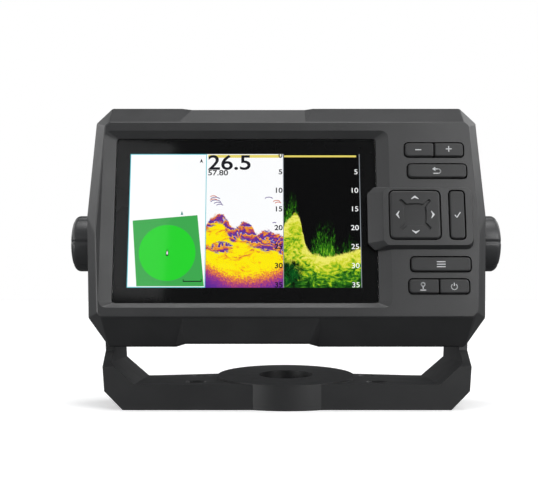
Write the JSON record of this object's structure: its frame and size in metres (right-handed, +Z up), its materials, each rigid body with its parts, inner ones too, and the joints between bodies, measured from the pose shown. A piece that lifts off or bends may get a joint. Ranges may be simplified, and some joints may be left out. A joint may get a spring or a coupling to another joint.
{
  "type": "chartplotter display",
  "caption": "Compact chartplotter and sounder display with a keypad beside the screen, tilting on side knobs in a U-shaped bail bracket with a screw-down base.",
  "frame": {"origin": "centre of the bracket base's underside", "axes": "+Z up out of the base, -Y towards the viewer of the screen, +X to the viewer's right"},
  "size_m": [0.2128, 0.0744, 0.1451],
  "materials": {
    "case_plastic": "fine moulded texture",
    "bracket_plastic": "fine moulded texture",
    "knob_plastic": "fine moulded texture",
    "key_rubber": "matte",
    "lens_glass": "polished",
    "lcd_glass": "polished",
    "seal_rubber": "matte",
    "socket_plastic": "satin",
    "tray_plastic": "satin",
    "circuit_board": "solder mask",
    "ceramic": "fired ceramic",
    "ribbon": "polyimide film",
    "steel": "stamped",
    "stainless_steel": "turned",
    "brass": "turned"
  },
  "bodies": {
    "bracket": {"bail_bracket": "bracket_plastic"},
    "case": {"front_frame": "case_plastic", "display_lens": "lens_glass", "lens_seal": "seal_rubber", "lcd_panel": "lcd_glass", "backlight_tray": "tray_plastic", "lcd_chassis": "steel", "main_board": "circuit_board", "processor_shield": "steel", "gps_antenna": "ceramic", "buzzer": "socket_plastic", "keypad_board": "circuit_board", "keypad_mat": "seal_rubber", "keypad_ribbon": "ribbon", "display_ribbon": "ribbon", "housing_seal": "seal_rubber", "rear_housing": "case_plastic", "left_insert": "brass", "right_insert": "brass", "power_socket": "socket_plastic", "transducer_socket": "socket_plastic", "pressure_vent": "socket_plastic", "case_screw_1": "stainless_steel", "case_screw_2": "stainless_steel", "case_screw_3": "stainless_steel", "case_screw_4": "stainless_steel", "case_screw_5": "stainless_steel", "case_screw_6": "stainless_steel", "board_screw_1": "stainless_steel", "board_screw_2": "stainless_steel", "board_screw_3": "stainless_steel", "board_screw_4": "stainless_steel", "left_friction_washer": "seal_rubber", "right_friction_washer": "seal_rubber"},
    "zoom_out_key": {"zoom_out_key": "key_rubber"},
    "zoom_in_key": {"zoom_in_key": "key_rubber"},
    "back_key": {"back_key": "key_rubber"},
    "select_key": {"select_key": "key_rubber"},
    "menu_key": {"menu_key": "key_rubber"},
    "mark_key": {"mark_key": "key_rubber"},
    "power_key": {"power_key": "key_rubber"},
    "cursor_rocker": {"cursor_rocker": "seal_rubber"},
    "cursor_pad": {"cursor_pad": "key_rubber"},
    "left_washer": {"left_clamp_washer": "stainless_steel"},
    "left_knob": {"left_knob": "knob_plastic", "left_stud": "stainless_steel"},
    "right_washer": {"right_clamp_washer": "stainless_steel"},
    "right_knob": {"right_knob": "knob_plastic", "right_stud": "stainless_steel"}
  },
  "joints": [
    {"name": "case_tilt", "type": "hinge", "parent": "bracket", "child": "case", "pos_m": [0, 0, 0.0794], "axis": [-1, 0, 0], "range_deg": [-5, 45]},
    {"name": "zoom_out_press", "type": "slide", "parent": "case", "child": "zoom_out_key", "axis": [0, 0.9942, -0.108], "range_m": [0, 0.0008], "stiffness_N_per_m": 2000},
    {"name": "zoom_in_press", "type": "slide", "parent": "case", "child": "zoom_in_key", "axis": [0, 0.9942, -0.108], "range_m": [0, 0.0008], "stiffness_N_per_m": 2000},
    {"name": "back_press", "type": "slide", "parent": "case", "child": "back_key", "axis": [0, 0.9942, -0.108], "range_m": [0, 0.0008], "stiffness_N_per_m": 2000},
    {"name": "select_press", "type": "slide", "parent": "case", "child": "select_key", "axis": [0, 0.9942, -0.108], "range_m": [0, 0.0008], "stiffness_N_per_m": 2000},
    {"name": "menu_press", "type": "slide", "parent": "case", "child": "menu_key", "axis": [0, 0.9942, -0.108], "range_m": [0, 0.0008], "stiffness_N_per_m": 2000},
    {"name": "mark_press", "type": "slide", "parent": "case", "child": "mark_key", "axis": [0, 0.9942, -0.108], "range_m": [0, 0.0008], "stiffness_N_per_m": 2000},
    {"name": "power_press", "type": "slide", "parent": "case", "child": "power_key", "axis": [0, 0.9942, -0.108], "range_m": [0, 0.0008], "stiffness_N_per_m": 2000},
    {"name": "cursor_up_down", "type": "hinge", "parent": "case", "child": "cursor_rocker", "pos_m": [0.05905, -0.03139, 0.08955], "axis": [1, 0, 0], "range_deg": [-1.5, 1.5], "stiffness_Nm_per_rad": 0.3},
    {"name": "cursor_left_right", "type": "hinge", "parent": "cursor_rocker", "child": "cursor_pad", "pos_m": [0.05905, -0.03139, 0.08955], "axis": [0, 0.108, 0.9942], "range_deg": [-1.5, 1.5], "stiffness_Nm_per_rad": 0.3},
    {"name": "left_knob_travel", "type": "slide", "parent": "case", "child": "left_washer", "axis": [-1, 0, 0], "range_m": [0, 0.00375]},
    {"name": "left_knob_turn", "type": "hinge", "parent": "left_washer", "child": "left_knob", "pos_m": [-0.1, 0, 0.0794], "axis": [-1, 0, 0], "range_deg": [0, 1080]},
    {"name": "right_knob_travel", "type": "slide", "parent": "case", "child": "right_washer", "axis": [1, 0, 0], "range_m": [0, 0.00375]},
    {"name": "right_knob_turn", "type": "hinge", "parent": "right_washer", "child": "right_knob", "pos_m": [0.1, 0, 0.0794], "axis": [1, 0, 0], "range_deg": [0, 1080]}
  ],
  "couplings": [
    {"joint": "left_knob_turn", "follows": "left_knob_travel", "rad_per_m": 5026.5},
    {"joint": "right_knob_turn", "follows": "right_knob_travel", "rad_per_m": 5026.5}
  ]
}
